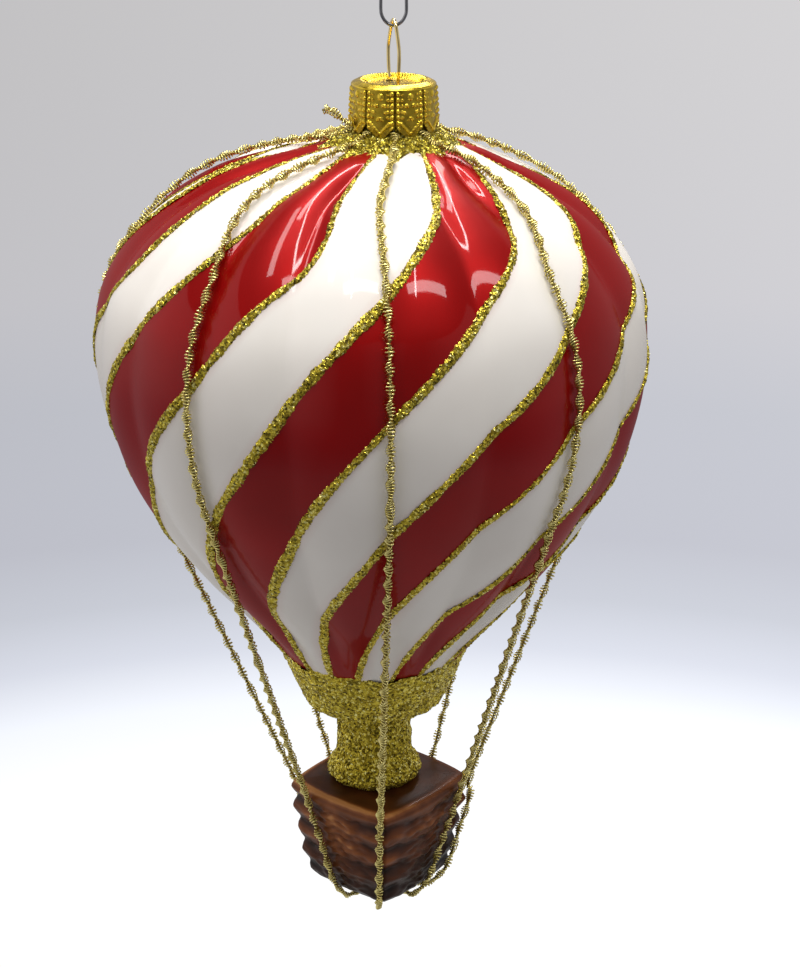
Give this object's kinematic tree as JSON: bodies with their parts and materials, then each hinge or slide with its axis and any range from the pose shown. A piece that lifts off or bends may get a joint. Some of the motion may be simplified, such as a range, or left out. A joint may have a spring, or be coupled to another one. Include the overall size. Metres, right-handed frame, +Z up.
{
  "type": "hot air balloon hanging ornament",
  "caption": "Blown glass hanging ornament in the form of a hot air balloon, with swirled stripes, glitter lines, wire rigging and a small woven basket",
  "frame": {"origin": "the inside of the steel hook's upper bend, where the ornament hangs", "axes": "+Z up, +X to the right as the front is seen, -Y towards the front, where a corner of the basket points"},
  "size_m": [0.0949, 0.0954, 0.194],
  "materials": {
    "steel": "plain drawn wire, darkened",
    "gold_loop": "bright drawn wire",
    "gold_cap": "stamped and gilded",
    "painted_glass": "silvered blown glass with red lacquer and white enamel stripes",
    "gold_glitter": "coarse olive-gold glitter on glass",
    "brown_lacquer": "glossy reddish brown lacquer on moulded glass",
    "crinkle_wire": "flattened crinkled coil, pale gold"
  },
  "bodies": {
    "hook": {"steel_hook": "steel"},
    "hanger": {"hanger_loop": "gold_loop"},
    "cap": {"cap": "gold_cap"},
    "balloon": {"envelope": "painted_glass", "throat": "gold_glitter", "basket": "brown_lacquer", "neck_tie": "crinkle_wire", "crinkle_wire_1": "crinkle_wire", "crinkle_wire_2": "crinkle_wire", "crinkle_wire_3": "crinkle_wire", "crinkle_wire_4": "crinkle_wire", "crinkle_wire_5": "crinkle_wire", "crinkle_wire_6": "crinkle_wire", "crinkle_wire_7": "crinkle_wire", "crinkle_wire_8": "crinkle_wire", "wire_gather": "crinkle_wire"}
  },
  "joints": [
    {"name": "hook_swing", "type": "hinge", "parent": "hook", "child": "hanger", "pos_m": [0, 0, -0.03428], "axis": [1, 0, 0], "range_deg": [-90, 90]},
    {"name": "hanger_rock", "type": "hinge", "parent": "hanger", "child": "cap", "pos_m": [0, 0, -0.0438], "axis": [-0.342, 0.9397, 0], "range_deg": [-12, 12]},
    {"name": "cap_pull", "type": "slide", "parent": "cap", "child": "balloon", "axis": [0, 0, -1], "range_m": [0, 0.02]}
  ]
}
